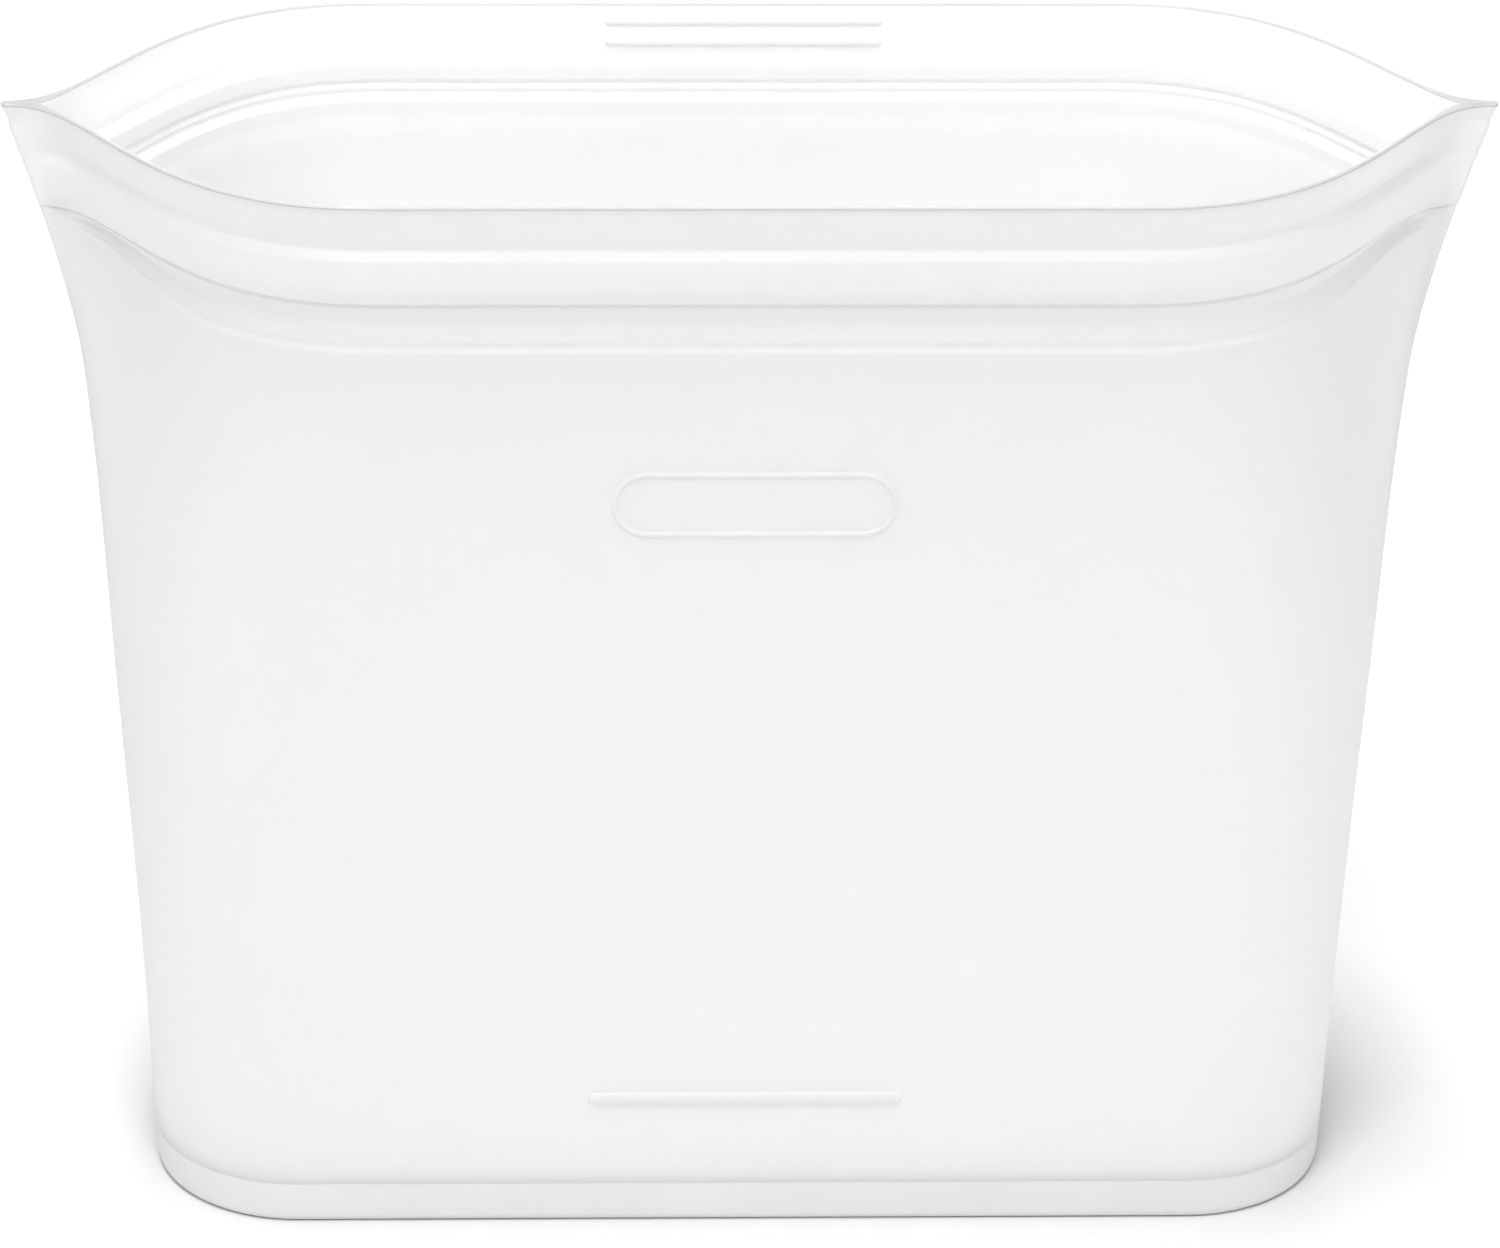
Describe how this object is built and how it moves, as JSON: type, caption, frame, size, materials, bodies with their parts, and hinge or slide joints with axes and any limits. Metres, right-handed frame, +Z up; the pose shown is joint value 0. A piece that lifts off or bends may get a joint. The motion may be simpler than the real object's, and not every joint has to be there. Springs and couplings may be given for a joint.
{
  "type": "reusable silicone bag",
  "caption": "Stand-up silicone food bag with an oval base, a flared mouth with pointed corners and a press closure whose front and back walls swing shut.",
  "frame": {"origin": "middle of the base's underside, on the surface that the bag stands on", "axes": "+X across the bag towards its right corner tip, +Y towards the back wall, +Z up out of the mouth"},
  "size_m": [0.2, 0.0708, 0.155],
  "materials": {
    "silicone": "frosted translucent white, satin"
  },
  "bodies": {
    "pouch": {"base_floor": "silicone", "base_front_edge": "silicone", "base_back_edge": "silicone", "left_end_wall": "silicone", "right_end_wall": "silicone", "left_neck_end": "silicone", "right_neck_end": "silicone", "left_track_end": "silicone", "right_track_end": "silicone", "left_lip_end": "silicone", "right_lip_end": "silicone", "left_corner_tip": "silicone", "right_corner_tip": "silicone"},
    "front_wall": {"front_panel": "silicone", "front_neck": "silicone", "front_track": "silicone", "front_seal_bead": "silicone", "front_lip": "silicone", "label_outline": "silicone", "measure_line": "silicone"},
    "back_wall": {"back_panel": "silicone", "back_neck": "silicone", "back_track": "silicone", "back_upper_rail": "silicone", "back_lower_rail": "silicone", "back_lip": "silicone", "grip_ribs": "silicone"}
  },
  "joints": [
    {"name": "front_wall_close", "type": "hinge", "parent": "pouch", "child": "front_wall", "pos_m": [0, -0.0274, 0.006], "axis": [-1, 0, 0], "range_deg": [0, 12.86], "stiffness_Nm_per_rad": 0.8},
    {"name": "back_wall_close", "type": "hinge", "parent": "pouch", "child": "back_wall", "pos_m": [0, 0.0274, 0.006], "axis": [1, 0, 0], "range_deg": [0, 12.86], "stiffness_Nm_per_rad": 0.8}
  ]
}
